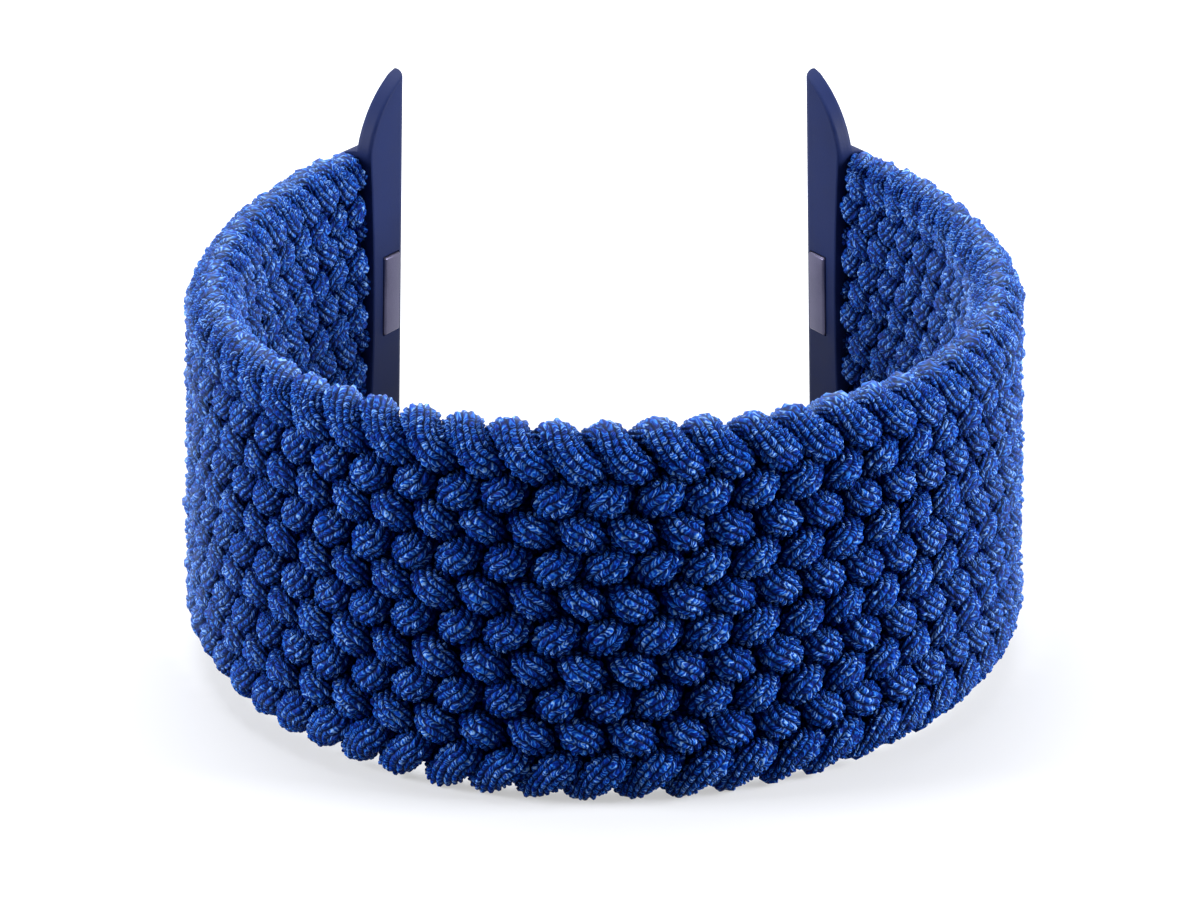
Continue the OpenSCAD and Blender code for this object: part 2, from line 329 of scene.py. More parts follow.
def cord_line(k, rng):
    """Middle line of cord k from lug to lug as arrays: points, the direction of its free
    side, the band's outward and upward directions, and four numbers: its place out of the
    band's middle and up the band, its half width and its half thickness. On a face of the
    band it runs flatter than its zigzag: a sine of the phase moves it along the band and
    back across it. Beside a lug it thins out by a smooth step, 3e^2 - 2e^3 of the share e
    of the way."""
    steps = np.arange(-HALF_STEPS, HALF_STEPS + STEP / 2, STEP)
    u = steps + 2 * k
    turns, free = phase(u)
    skew = SKEW * np.sin(2 * pi * turns) / (2 * pi)
    stray = WOBBLE * smooth_noise(rng, (3, len(steps)), (UNBLURRED, WOBBLE_BLUR))
    s = (steps + skew) * PITCH / 2 + FIRST_TURN + stray[0]
    height = held(s) * lane(u - skew) + stray[1]
    out_of_band = SWING * np.cos(pi * turns) + WOBBLE_OUT * stray[2]
    normal = outward(s) * cos(FLARE) + np.array([0, 0, sin(FLARE)])
    across = np.array([0, 0, cos(FLARE)]) - outward(s) * sin(FLARE)
    base = plan(s) + across * height[:, None] / cos(FLARE)

    inside = np.full(len(s), half_len)
    for side in (-1, 1):
        here = band_to_lug(base, side)
        mouth = mouth_x - np.sqrt(np.maximum(mouth_r**2 - here[:, 2] ** 2, 0))
        inside = np.where(side * s > half_len / 2, here[:, 0] - mouth, inside)
    kept = inside > -INTO_LUG
    front = len(s) // 2
    first = front - np.argmin(kept[front::-1]) + 1
    last = front + np.argmin(kept[front:])

    ease = np.clip(inside / PINCH_FROM, 0, 1)
    thin = 1 - PINCH * (1 - ease * ease * (3 - 2 * ease))
    tuck = 1 - TUCK * np.clip(-inside / INTO_LUG, 0, 1)
    points = base + normal * (out_of_band * thin)[:, None]
    facing = normal * np.sin(free)[:, None] + across * np.cos(free)[:, None]
    level = np.stack([out_of_band * thin, height, CORD_W * tuck, CORD_T / 2 * thin * tuck], -1)
    cut = slice(first, last)
    return points[cut], facing[cut], normal[cut], across[cut], level[cut]


def nub_grid(rings, rng):
    """Each point's column and row on a sheath of so many rings, counted in nubs, and its
    height on its nub: the product of a hump across the column and one along it. A hump is
    1 - |2t - 1| to the power NUB_POWER, with t from 0 to 1 over the nub. Every other column
    is shifted by the distance of one point."""
    column, row = np.meshgrid(np.arange(around) / PER_NUB, np.arange(rings) / PER_NUB)
    begun = row + np.floor(column) % 2 / PER_NUB
    over = 1 - np.abs(2 * (column % 1) - 1) ** NUB_POWER
    along_it = 1 - np.abs(2 * (begun % 1) - 1) ** NUB_POWER
    sizes = rng.uniform(LEAST_NUB, MOST_NUB, (rings // PER_NUB + 3, NUBS_ROUND))
    size = sizes[np.floor(begun).astype(int), np.floor(column).astype(int)]
    return column, row, over * along_it * size


def openness(offset, normal, across, level):
    """How openly each point lies, from 0 in the depth of the braid to 1 on its faces and
    rims, and the way the band as a whole faces there: outwards or inwards on a face, more
    and more up or down towards a rim."""
    out = (level[:, :1] + (offset * normal[:, None]).sum(-1)) / crown
    up = level[:, 1:2] + (offset * across[:, None]).sum(-1)
    rim = RIM_WEIGHT * np.clip((np.abs(up) - rim_w + RIM_ZONE) / RIM_ZONE, 0, 1)
    opened = np.clip(np.maximum(np.abs(out), rim), 0, 1)
    faced = normal[:, None] * out[..., None] + across[:, None] * (np.sign(up) * rim)[..., None]
    faced /= np.linalg.norm(faced, axis=-1, keepdims=True) + 1e-6
    return opened, faced


def cord_grid(k):
    """Rings of points of cord k, with each point's column, row and height on its nub, how
    openly it lies and which way the band faces there. A ring is an ellipse square to the
    cord. A point rises along the ellipse's normal, whose parts are the cosine of its angle
    over the half width and the sine over the half thickness."""
    rng = np.random.default_rng(SEED + k)
    line = cord_line(k, rng)
    way = np.concatenate([[0], np.cumsum(np.linalg.norm(np.diff(line[0], axis=0), axis=1))])
    rings = int(way[-1] / NUB_LEN * PER_NUB)
    at = np.linspace(0, way[-1], rings)
    points, facing, normal, across, level = [
        np.stack([np.interp(at, way, column) for column in part.T], -1) for part in line]

    tangent = np.gradient(points, axis=0)
    tangent /= np.linalg.norm(tangent, axis=1, keepdims=True)
    sideways = np.cross(tangent, facing)
    sideways /= np.linalg.norm(sideways, axis=1, keepdims=True)
    upwards = np.cross(sideways, tangent)

    column, row, nub = nub_grid(rings, rng)
    lumps = smooth_noise(rng, (rings, around), LUMP_BLUR)
    sway = SWAY * smooth_noise(rng, (2, rings, around), (UNBLURRED, SWAY_BLUR, SWAY_BLUR))
    angle = 2 * pi * (column + sway[0]) / NUBS_ROUND + TWIST * at[:, None]
    slide = NUB_LEN * sway[1]
    rise = NUB_RISE * (nub - 1) + LUMP * lumps
    cosine, sine = np.cos(angle), np.sin(angle)
    half_w, half_t = level[:, 2:3], level[:, 3:4]
    slope = np.hypot(cosine / half_w, sine / half_t)
    to_side = half_w * cosine + rise * cosine / half_w / slope
    to_top = half_t * sine + rise * sine / half_t / slope
    offset = (sideways[:, None] * to_side[..., None] + upwards[:, None] * to_top[..., None]
              + tangent[:, None] * slide[..., None])
    opened, faced = openness(offset, normal, across, level)
    return points[:, None] + offset, column, row, nub, opened, faced


test_grid = cord_grid(0)[0]
print("a cord has", test_grid.shape[0], "rings of", test_grid.shape[1], "points:",
      2 * test_grid.shape[0] * test_grid.shape[1], "triangles")

# %% [markdown]
# ## The eleven cords
# Each cord's mesh carries its own coordinates. The corner attribute "sheath" counts nubs
# round and along, for the threads in the material. The point attributes are "nub", the
# height on a nub, and "open", how openly a point lies, which the material turns into
# painted shade in the valleys and the depth of the braid and painted highlights on the
# nubs, and "faced", the way the band faces as a whole, for the fuzz that stands off it.
# The count is kept on corners, and not on points, to let it run from thirteen to fourteen
# at the seam, where a point would have to be both fourteen and nought. The flat map folds
# the long sheath into rows, so that a picture of it fills a square.

# %% Cords
END_VALUE = 0.5  # of "nub" and "open" in the middle of a cord's two cut ends
MAP_ROWS = 7
MAP_SIDE, MAP_EDGE = 0.01, 0.03  # margins at the ends and along the edges of a row
MAP_FULL = 0.9999  # keeps the last corner of a cord inside the last row


def write_values(mesh, label, kind, domain, values):
    """A new attribute of the mesh, from an array of numbers or of vectors."""
    made = mesh.attributes.new(label, kind, domain)
    field = "vector" if kind == "FLOAT_VECTOR" else "value"
    made.data.foreach_set(field, values.astype(np.float32).ravel())


def write_map(mesh, column, row, last_row):
    """The flat map from the places of the corners on the sheath. The share of the cord's
    length that lies before a corner, times the number of rows, gives its row by the whole
    part and its place in the row by the rest."""
    share = row / last_row * MAP_ROWS * MAP_FULL
    strip = np.floor(share.min(axis=1, keepdims=True))
    flat = np.zeros((len(mesh.loops), 2), np.float32)
    flat[: row.size, 0] = (MAP_SIDE + (1 - 2 * MAP_SIDE) * (share - strip)).ravel()
    up = strip + MAP_EDGE + (1 - 2 * MAP_EDGE) * column / NUBS_ROUND
    flat[: row.size, 1] = (up / MAP_ROWS).ravel()
    mesh.uv_layers.new(name="OFBake").uv.foreach_set("vector", flat.ravel())


def add_cord(k):
    """Cord k as one closed surface, which stands for the solid of the same name, and its
    length in mm."""
    name = f"cord_{k + 1:02d}"
    grid, column, row, nub, opened, faced = cord_grid(k)
    length = np.linalg.norm(np.diff(grid.mean(1), axis=0), axis=1).sum()
    faces = tube_faces(len(grid), around)
    points = to_table(with_ends(grid))
    piece = make_piece(f"braided_{name}", points, faces, "strap")
    mesh = piece.data

    quads = faces[0]
    corner_column = column.ravel()[quads]
    corner_column[:, 2:] += NUBS_ROUND * (corner_column[:, 2:] < corner_column[:, :2])
    corner_row = row.ravel()[quads]
    shift = np.floor(column.ravel()[quads[:, :1]]) % 2 / PER_NUB
    sheath = np.zeros((len(mesh.loops), 3))
    sheath[: quads.size, 0] = corner_column.ravel()
    sheath[: quads.size, 1] = (corner_row + shift).ravel()
    write_values(mesh, "sheath", "FLOAT_VECTOR", "CORNER", sheath)
    for label, values in (("nub", nub), ("open", opened)):
        write_values(mesh, label, "FLOAT", "POINT", np.append(values, [END_VALUE, END_VALUE]))
    write_values(mesh, "faced", "FLOAT_VECTOR", "POINT", turn(with_ends(faced), 0, rest_tilt))
    write_map(mesh, corner_column, corner_row, row.max())
    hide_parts(name)
    return piece, length


cords, lengths = zip(*[add_cord(k) for k in range(CORDS)])
print("cords:", len(cords), "triangles in all:", sum(2 * len(c.data.vertices) for c in cords))
print("lengths in mm:", [round(float(length), 1) for length in lengths])

# %% [markdown]
# ## The lugs
# A lug is one moulding: a bar with a round-nosed section. Past the braid's edges the bar
# drops over a round shoulder to two thin ears, which carry on its inner face and are drawn
# in to a tip by an arc. So its surface is a section carried along its length, and only the
# section's depth and outer face change. A boolean then cuts the latch's pocket.

# %% Lugs
EDGE_R = 0.16  # of the edges round the mouth and the ears
TIP_R = 0.3  # over which the tip of an ear is rounded
TIP_THIN = 0.6  # share of its thickness that an ear loses at the tip
TIP_SHORT = 0.999  # the last section stops just short of the tip
LEAST_D = 0.05  # least depth of a section, at the tip
CORNER_SOFT = 0.06  # rounding of the corner between the mouth's arc and the ear's arc
SHOULDER_OVER = 0.05  # by which a shoulder's radius is over its drop
NOSE_POINTS, ROOT_POINTS, SIDE_POINTS = 10, 6, 6  # round a section
BAR_STATIONS, ARC_STATIONS, EAR_STATIONS = 25, 15, 32  # along a half of the lug
SHARP_LUG = radians(32)  # edges sharper than this aren't shaded smooth
ear_y = EAR_T - LUG_T / 2
shoulder_r = (1 + SHOULDER_OVER) * (LUG_T - EAR_T)
shoulder_z = end_w - shoulder_r
ear_tip = np.array([0, LUG_LEN / 2])
ear_root = np.array([ROOT_D, end_w])
ear_chord = np.linalg.norm(ear_tip - ear_root)
ear_out = np.array([ear_tip[1] - ear_root[1], ear_root[0]]) / ear_chord
ear_centre = (ear_tip + ear_root) / 2 - ear_out * np.sqrt(EAR_R**2 - ear_chord**2 / 4)


def lug_depth(z):
    """Depth of a lug at height z: the lesser of the mouth's arc and the ear's arc, with the
    corner between them rounded as a hyperbola."""
    z = np.abs(z)
    mouth = mouth_x - np.sqrt(mouth_r**2 - z**2)
    rise = np.clip(z - ear_centre[1], 0, EAR_R)
    ear = ear_centre[0] + np.sqrt(EAR_R**2 - rise**2)
    return (mouth + ear) / 2 - np.hypot((mouth - ear) / 2, CORNER_SOFT)


def lug_section(depth, top):
    """Outline of a section as closed rings x, y: from the end face along the outer side to
    the root and back along the inner side. The nose is a quarter circle and the other edges
    are smaller ones. The outer side is cut off flat at y = top."""
    size = np.minimum(1, depth / (NOSE_R + EDGE_R))
    edge = EDGE_R * size
    nose = NOSE_R * size * (1 - np.cos(np.linspace(0, pi / 2, NOSE_POINTS)))
    root = depth - edge * np.cos(np.linspace(0, pi / 2, ROOT_POINTS))
    x = np.concatenate([nose, root])
    half = end_flat + np.sqrt(NOSE_R**2 - np.clip(NOSE_R - x, 0, NOSE_R) ** 2)
    near_root = np.clip((x - depth) / edge + 1, 0, 1)
    near_nose = np.clip(1 - x / edge, 0, 1)
    root_cut = edge * (1 - np.sqrt(1 - near_root**2))
    nose_cut = edge * (1 - np.sqrt(1 - near_nose**2))
    outer = np.minimum(half, top - nose_cut) - root_cut
    inner = -half + root_cut
    share = np.linspace(0, 1, SIDE_POINTS + 2)[1:-1]
    x = np.concatenate([x, 0 * share + x[-1], x[::-1], 0 * share])
    y = np.concatenate([outer, outer[-1] + share * (inner[-1] - outer[-1]), inner[::-1],
                        inner[0] + share * (outer[0] - inner[0])])
    return x, y


def lug_grid():
    """Sections of a lug at stations that lie closer together on the shoulders and at the
    tips. A shoulder is a quarter circle, and so is the rounding of a tip."""
    arc = np.sin(np.linspace(0, pi / 2, ARC_STATIONS))
    half_z = np.concatenate([
        np.linspace(0, shoulder_z, BAR_STATIONS)[:-1],
        shoulder_z + shoulder_r * arc,
        np.linspace(end_w, LUG_LEN / 2 - TIP_R, EAR_STATIONS)[1:-1],
        LUG_LEN / 2 - TIP_R * (1 - TIP_SHORT * arc)])
    z = np.concatenate([-half_z[:0:-1], half_z])
    rings = []
    for height in z:
        past_shoulder = np.clip((abs(height) - shoulder_z) / shoulder_r, 0, 1)
        top = min(LUG_T / 2, ear_y + shoulder_r * np.sqrt(1 - past_shoulder**2))
        x, y = lug_section(max(float(lug_depth(height)), LEAST_D), top)
        close = np.clip((abs(height) - LUG_LEN / 2 + TIP_R) / TIP_R, 0, 1)
        middle = (y.max() + y.min()) / 2
        y = middle + (y - middle) * (1 - TIP_THIN * (1 - np.sqrt(1 - close**2)))
        rings.append(np.stack([x, y, 0 * x + height], -1))
    return np.array(rings)


def mirrored(faces, side):
    """Faces with their corners in the other order on the left side, so that they still
    point outwards after the points are mirrored."""
    return faces if side > 0 else [f[:, ::-1] for f in faces]


def placed(points, side):
    """Points of a lug's frame, where they lie on the table."""
    return to_table(lug_to_band(points, side))


def add_fitting(name, grid, side, body):
    """A piece from a closed grid of sections in a lug's frame."""
    faces = mirrored(tube_faces(*grid.shape[:2]), side)
    return make_piece(name, placed(with_ends(grid), side), faces, body)


def block_points(low, high):
    """The eight corners of a block and its six faces."""
    ends = np.array([low, high])
    pick = np.indices((2, 2, 2)).reshape(3, -1)
    corners = np.stack([ends[pick[2], 0], ends[pick[1], 1], ends[pick[0], 2]], -1)
    faces = np.array([[0, 2, 3, 1], [4, 5, 7, 6], [0, 1, 5, 4],
                      [2, 6, 7, 3], [0, 4, 6, 2], [1, 3, 7, 5]])
    return corners, [faces]


latch_in = -LUG_T / 2 - LATCH_PROUD
latch_out = latch_in + LATCH_H
latch_x = LATCH_FROM + LATCH_W / 2
chamber = latch_out + SPRING_H


def add_lug(side, word):
    """One lug with the latch's pocket cut into its inner face."""
    lug = add_fitting(f"moulded_{word}_lug", lug_grid(), side, "strap")
    low = [LATCH_FROM - LATCH_GAP, -LUG_T, -LATCH_LEN / 2 - LATCH_GAP]
    high = [LATCH_FROM + LATCH_W + LATCH_GAP, chamber, LATCH_LEN / 2 + LATCH_GAP]
    corners, faces = block_points(low, high)
    block = placed(corners, side)
    cutter = make_piece("pocket", block, mirrored(faces, side), "strap")
    cut = lug.modifiers.new("pocket", "BOOLEAN")
    cut.operation, cut.solver, cut.object = "DIFFERENCE", "EXACT", cutter
    result = lug.evaluated_get(bpy.context.evaluated_depsgraph_get())
    finished = bpy.data.meshes.new_from_object(result)
    lug.modifiers.clear()
    lug.data = finished
    bpy.data.objects.remove(cutter)
    finished.shade_smooth()
    finished.set_sharp_from_angle(angle=SHARP_LUG)
    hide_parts(f"{word}_lug")
    return lug


sides = ((1, "right"), (-1, "left"))
lugs = [add_lug(side, word) for side, word in sides]
print("lugs:", [(o.name, len(o.data.polygons)) for o in lugs])

# %% [markdown]
# ## The latches and their springs
# The latch is a small stainless block that stands 0.15 mm out of the lug's inner face and
# clicks into the watch case. It slides, so it rides on its own body. Its edges are rounded.
# Behind it a bow spring is pressed flat as the latch goes in, which no rigid body can do.

# %% Latches
LATCH_EDGE = 0.13  # radius of a latch's edges
EDGE_POINTS = 5  # round each of them
SPRING_PLAY = 0.02  # between the bow and the latch, and between the bow and the lug
BOW_STATIONS = 33
SHARP_METAL = radians(50)  # edges sharper than this aren't shaded smooth


def add_latch(side, word):
    """A block whose section is a rounded rectangle, carried along its length and drawn in
    at both ends by the same radius."""
    quarter = np.linspace(0, pi / 2, EDGE_POINTS)
    turns = quarter + np.arange(3, -1, -1)[:, None] * pi / 2
    turns = turns[:, ::-1].ravel()
    right = np.repeat([1, -1, -1, 1], EDGE_POINTS)
    upper = np.repeat([-1, -1, 1, 1], EDGE_POINTS)
    end = np.concatenate([quarter, np.linspace(pi / 2, pi, EDGE_POINTS)])[:, None]
    inset = LATCH_EDGE * (1 - np.sin(end))
    half_x = LATCH_W / 2 - LATCH_EDGE - inset
    half_y = LATCH_H / 2 - LATCH_EDGE - inset
    half_z = np.repeat([-1, 1], EDGE_POINTS)[:, None] * (LATCH_LEN / 2 - LATCH_EDGE)
    x = latch_x + right * half_x + LATCH_EDGE * np.cos(turns)
    y = (latch_in + latch_out) / 2 + upper * half_y + LATCH_EDGE * np.sin(turns)
    z = half_z - LATCH_EDGE * np.cos(end) + 0 * x
    grid = np.stack([x, y, z], -1)
    latch = add_fitting(f"blasted_{word}_latch", grid, side, f"{word}_latch")
    latch.data.set_sharp_from_angle(angle=SHARP_METAL)
    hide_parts(f"{word}_latch")
    return latch


def add_spring(side, word):
    """A strip bent to an arc, as a grid of small sections along the bow. The arc's radius
    follows from its chord and its rise: the quarter of the chord's square plus the rise's
    square, over twice the rise."""
    rise = SPRING_H - SPRING_T - 2 * SPRING_PLAY
    radius = (SPRING_LEN**2 / 4 + rise**2) / (2 * rise)
    angle = np.linspace(-1, 1, BOW_STATIONS) * asin(SPRING_LEN / 2 / (radius + SPRING_T))
    centre_y = latch_out + SPRING_PLAY + radius + SPRING_T
    x = latch_x + SPRING_W / 2 * np.array([-1, 1, 1, -1])
    reach = radius + SPRING_T * np.array([0, 0, 1, 1])
    y = centre_y - np.cos(angle)[:, None] * reach
    z = np.sin(angle)[:, None] * reach
    grid = np.stack([np.broadcast_to(x, y.shape), y, z], -1)
    spring = add_fitting(f"bow_{word}_spring", grid, side, "strap")
    spring.data.set_sharp_from_angle(angle=SHARP_METAL)
    floor, above = placed(np.array([[latch_x, chamber, 0], [latch_x, chamber + 1, 0]]), side)
    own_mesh(spring)
    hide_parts(f"{word}_latch_spring")
    return spring


latches = [add_latch(side, word) for side, word in sides]
springs = [add_spring(side, word) for side, word in sides]
print("latches:", [o.name for o in latches], "springs:", [o.name for o in springs])

# %% [markdown]
# ## Colour and nodes
# Colours are written as on a screen, in sRGB, and Blender works in linear light, so one
# function turns them. Another adds a node with its settings and links in one line.

# %% Material helpers


def colour(code):
    """An sRGB hex code as linear red, green, blue and alpha. A dark channel is divided by
    12.92. Any other has 0.055 added, is divided by 1.055 and raised to the power 2.4."""
    channel = np.array([int(code[i : i + 2], 16) for i in (0, 2, 4)]) / 255
    linear = np.where(channel <= 0.04045, channel / 12.92, ((channel + 0.055) / 1.055) ** 2.4)
    return (*linear.tolist(), 1.0)


def node(tree, kind, settings=None, **inputs):
    """Adds a node. Settings are its properties. An input's name has _ for a space, or is
    in_0, in_1 and so on, and its value is a number, a colour or another node's output."""
    made = tree.nodes.new(kind)
    for name, value in (settings or {}).items():
        setattr(made, name, value)
    for name, value in inputs.items():
        key = int(name[3:]) if name.startswith("in_") else name.replace("_", " ")
        if isinstance(value, bpy.types.NodeSocket):
            tree.links.new(value, made.inputs[key])
        else:
            made.inputs[key].default_value = value
    return made


def calc(tree, operation, first, second=0.0, third=0.0):
    """The output of a math node on up to three numbers or outputs."""
    settings = {"operation": operation}
    return node(tree, "ShaderNodeMath", settings, in_0=first, in_1=second, in_2=third).outputs[0]


def fade(tree, value, low, high, **ends):
    """A smooth step from 0 at low to 1 at high, or between the ends To_Min and To_Max."""
    settings = {"interpolation_type": "SMOOTHSTEP"}
    made = node(tree, "ShaderNodeMapRange", settings,
                Value=value, From_Min=low, From_Max=high, **ends)
    return made.outputs[0]


def attribute(tree, name, output):
    """What the mesh's attribute of that name says: its Vector, or its number as Fac."""
    return node(tree, "ShaderNodeAttribute", {"attribute_name": name}).outputs[output]


def blend(tree, factor, first, second):
    """The output of a colour mix, where a colour is given or comes from a node."""
    made = node(tree, "ShaderNodeMix", {"data_type": "RGBA"}, Factor=factor)
    for key, value in ((6, first), (7, second)):
        if isinstance(value, bpy.types.NodeSocket):
            tree.links.new(value, made.inputs[key])
        else:
            made.inputs[key].default_value = value
    return made.outputs[2]


def new_material(name):
    """A material with an empty tree and its output node."""
    material = bpy.data.materials.new(name)
    material.use_nodes = True
    material.node_tree.nodes.clear()
    return material, material.node_tree, material.node_tree.nodes.new("ShaderNodeOutputMaterial")


def ramp(tree, factor, stops):
    """A colour ramp through (place, hex code) stops."""
    made = node(tree, "ShaderNodeValToRGB", Fac=factor)
    points = made.color_ramp.elements
    while len(points) < len(stops):
        points.new(0.5)
    for point, (place, code) in zip(points, stops):
        point.position, point.color = place, colour(code)
    return made.outputs["Color"]


# %% [markdown]
# ## Dyed nylon yarn
# The sheath is textured nylon filament, dyed royal blue in the piece. A nub's top gets a
# painted highlight and the valleys between nubs get painted shade, almost black. The
# filaments run across the cord in thin bundles, which show as short strokes that slant to
# and fro from one column to the next, painted paler as their highlights. A filament is
# 0.02 mm, too fine to show, so the strokes are drawn coarser, 0.1 mm apart.
#
# Loose fibre ends scatter light at grazing angles. They stand off the whole band and not
# off each nub, so this fuzz is a sheen of its own, turned the way the band faces.

# %% Material of the cords
NYLON_IOR = 1.53  # usual for nylon
STROKES = 3.2  # to the length of a nub
SLANT = 0.3  # nubs by which a stroke climbs in crossing a column
DRIFT, DRIFT_SCALE = 0.9, 1.2  # how far strokes stray, and how often in a nub
FIBRE_SCALE = (2.4, 0.7, 1.0)  # of the fibres' noise: fine along the cord, drawn out across
STROKE_PART = 0.27  # what a stroke adds to the noise of its fibres
CHANCE_PART = 0.22  # what chance adds for each nub
LEVEL_PART = 0.4  # share of a nub's height that doesn't fall off along the cord
RAGGED, FULLER = 0.7, 0.4  # what the fibres and a nub's size add to where it turns pale
# painted shade and highlight: from PALE_FROM to PALE_TO a nub turns from the painted shade of a
# valley to the painted highlight of its top
PALE_FROM, PALE_TO = 0.38, 1.3  # the height at which a nub begins and ends to turn pale
# painted shade: between these two, the near-black painted shade of the braid's depth lifts off a
# nub
OPEN_FROM, OPEN_TO = 0.4, 0.9  # how openly a nub lies when it begins to show, and in full
YARN_ROUGH, YARN_SPECULAR = 0.5, 0.03  # crimped filaments hardly mirror the white room
RELIEF, RELIEF_PART = 0.1, 0.5  # height of the bump in mm, and the share of the strokes in it
FUZZ_ROUGH = 0.34
# painted shade: the fuzz fades out where the band faces down to the table
FUZZ_FROM, FUZZ_TO = -0.7, 0.0  # how far up the band faces where the fuzz begins, and in full
FLAT_NOISE = {"noise_dimensions": "2D"}


def nub_relief(tree, column, row):
    """Height on a nub as the product of two rounded humps. Each is 1 - (1 - t)^2, with t
    rising from 0 in a valley to 1 on top, and the one along the cord counts only in part."""
    humps = []
    for count in (column, row):
        low = calc(tree, "MULTIPLY_ADD", calc(tree, "PINGPONG", count, 0.5), -2.0, 1.0)
        humps.append(calc(tree, "SUBTRACT", 1.0, calc(tree, "MULTIPLY", low, low)))
    along_it = calc(tree, "MULTIPLY_ADD", humps[1], 1 - LEVEL_PART, LEVEL_PART)
    return calc(tree, "MULTIPLY", humps[0], along_it)


def strokes_and_fibres(tree, place, column, row):
    """The strokes as a sine of the way along the cord, slanted and strayed, and the fibres
    as a noise that is drawn out along the strokes."""
    odd = calc(tree, "PINGPONG", calc(tree, "FLOOR", column), 1.0)
    slant = node(tree, "ShaderNodeMapRange", Value=odd, To_Min=SLANT, To_Max=-SLANT).outputs[0]
    slanted = calc(tree, "MULTIPLY_ADD", column, slant, row)
    drift = node(tree, "ShaderNodeTexNoise", FLAT_NOISE,
                 Vector=place, Scale=DRIFT_SCALE, Detail=2.0)
    strayed = calc(tree, "MULTIPLY_ADD", drift.outputs["Fac"], DRIFT, slanted)
    strokes = calc(tree, "SINE", calc(tree, "MULTIPLY", strayed, 2 * pi * STROKES))
    leant = node(tree, "ShaderNodeCombineXYZ", X=strayed, Y=column).outputs[0]
    drawn_out = node(tree, "ShaderNodeMapping", Vector=leant, Scale=FIBRE_SCALE).outputs[0]
    fibre = node(tree, "ShaderNodeTexNoise", FLAT_NOISE,
                 Vector=drawn_out, Scale=1.0, Detail=2.0)
    return strokes, fibre.outputs["Fac"]


def fuzz(tree, light):
    """The sheen of loose fibre ends, where light says that the yarn lies open, so painted
    shade dims it in the depth of the braid. It fades out where the band faces the table,
    which is painted shade on the band's underside."""
    faced = attribute(tree, "faced", "Vector")
    upward = node(tree, "ShaderNodeSeparateXYZ", Vector=faced).outputs["Z"]
    # painted shade: the underside of the band loses its fuzz, as the light comes from above
    lit = fade(tree, upward, FUZZ_FROM, FUZZ_TO)
    haze = ramp(tree, calc(tree, "MULTIPLY", lit, light), [(0.0, "060c1a"), (1.0, "899eb4")])
    return node(tree, "ShaderNodeBsdfSheen", Color=haze, Roughness=FUZZ_ROUGH, Normal=faced)


def nylon_yarn():
    """Colour and relief of the yarn, and the fuzz over it. The yarn's royal blue carries
    painted light: painted highlights on the strokes of a nub's top, painted shade in the
    valleys, and painted shade, almost black, in the depth of the braid."""
    material, tree, output = new_material("piece-dyed textured nylon yarn")
    place = attribute(tree, "sheath", "Vector")
    part = node(tree, "ShaderNodeSeparateXYZ", Vector=place)
    column, row = part.outputs["X"], part.outputs["Y"]
    nub = nub_relief(tree, column, row)
    strokes, fibre = strokes_and_fibres(tree, place, column, row)
    thread = calc(tree, "MULTIPLY_ADD", strokes, STROKE_PART, fibre)

    whole = node(tree, "ShaderNodeVectorMath", {"operation": "FLOOR"}, in_0=place).outputs[0]
    chance = node(tree, "ShaderNodeTexWhiteNoise", FLAT_NOISE, Vector=whole).outputs["Value"]
    pale = calc(tree, "MULTIPLY_ADD", chance, CHANCE_PART, thread)
    # painted highlights: the strokes of the filaments are painted paler, up to 7096ce, in place of
    # their reflections, and chance makes some nubs paler than others
    bright = ramp(tree, pale, [
        (0.35, "001866"), (0.65, "023ca2"), (0.85, "2468bc"), (1.0, "7096ce")])
    # painted shade and highlight by height on a nub: the valleys get a dark navy painted shade,
    # 000b38, and the tops the pale painted strokes
    ragged = calc(tree, "MULTIPLY_ADD", fibre, RAGGED, nub)
    height = calc(tree, "MULTIPLY_ADD", attribute(tree, "nub", "Fac"), FULLER, ragged)
    top = fade(tree, height, PALE_FROM, PALE_TO)
    # painted shade: light is 0 in the depth of the braid and 1 where the yarn lies open; it paints
    # the colour almost black down there, 00022c, and also dims the gloss and the fuzz
    light = fade(tree, attribute(tree, "open", "Fac"), OPEN_FROM, OPEN_TO)
    on_top = blend(tree, top, colour("000b38"), bright)
    dye_and_painted_light = blend(tree, light, colour("00022c"), on_top)

    relief = calc(tree, "MULTIPLY_ADD", thread, RELIEF_PART, nub)
    bump = node(tree, "ShaderNodeBump", Height=relief, Strength=1.0, Distance=RELIEF * MM)
    # painted shade in the gloss too: the specular level falls to nothing in the depth of the braid
    shine = calc(tree, "MULTIPLY", light, YARN_SPECULAR)
    yarn_shader = node(tree, "ShaderNodeBsdfPrincipled", Base_Color=dye_and_painted_light, Roughness=YARN_ROUGH,
                       IOR=NYLON_IOR, Specular_IOR_Level=shine, Normal=bump.outputs[0])
    over_it = fuzz(tree, light).outputs[0]
    both = node(tree, "ShaderNodeAddShader", in_0=yarn_shader.outputs[0], in_1=over_it)
    tree.links.new(both.outputs[0], output.inputs["Surface"])
    return material


yarn = nylon_yarn()
for cord in cords:
    cord.data.materials.append(yarn)
print("strokes across a cord:", round(NUB_LEN / STROKES, 3), "mm apart")

# %% [markdown]
# ## Moulded plastic, steel and melted nylon
# The lugs are glass-filled nylon, moulded against a finely etched tool, so they are satin
# and never glossy. The latches are stainless steel blasted with glass beads, and the pins
# and springs are drawn and rolled. Their colours and roughness start from usual values and
# vary a little by noise in object coordinates, whose scale is a real grain size.

# %% Materials of the lugs and fittings
METAL_IOR = 1.5  # the shader's default, which a metal keeps
SATIN = 0.08  # low specular level of all these finishes, as the room around is all white
CLOUD_SIZE = 2.5  # of the broad variation, in mm
CLOUD_PART = 0.35  # share of the grain in it
CLOUD_LOW, CLOUD_HIGH = 0.3, 0.7  # range of the noise that the finish uses
ROUGH_SPREAD = 0.07  # by which the roughness varies up and down


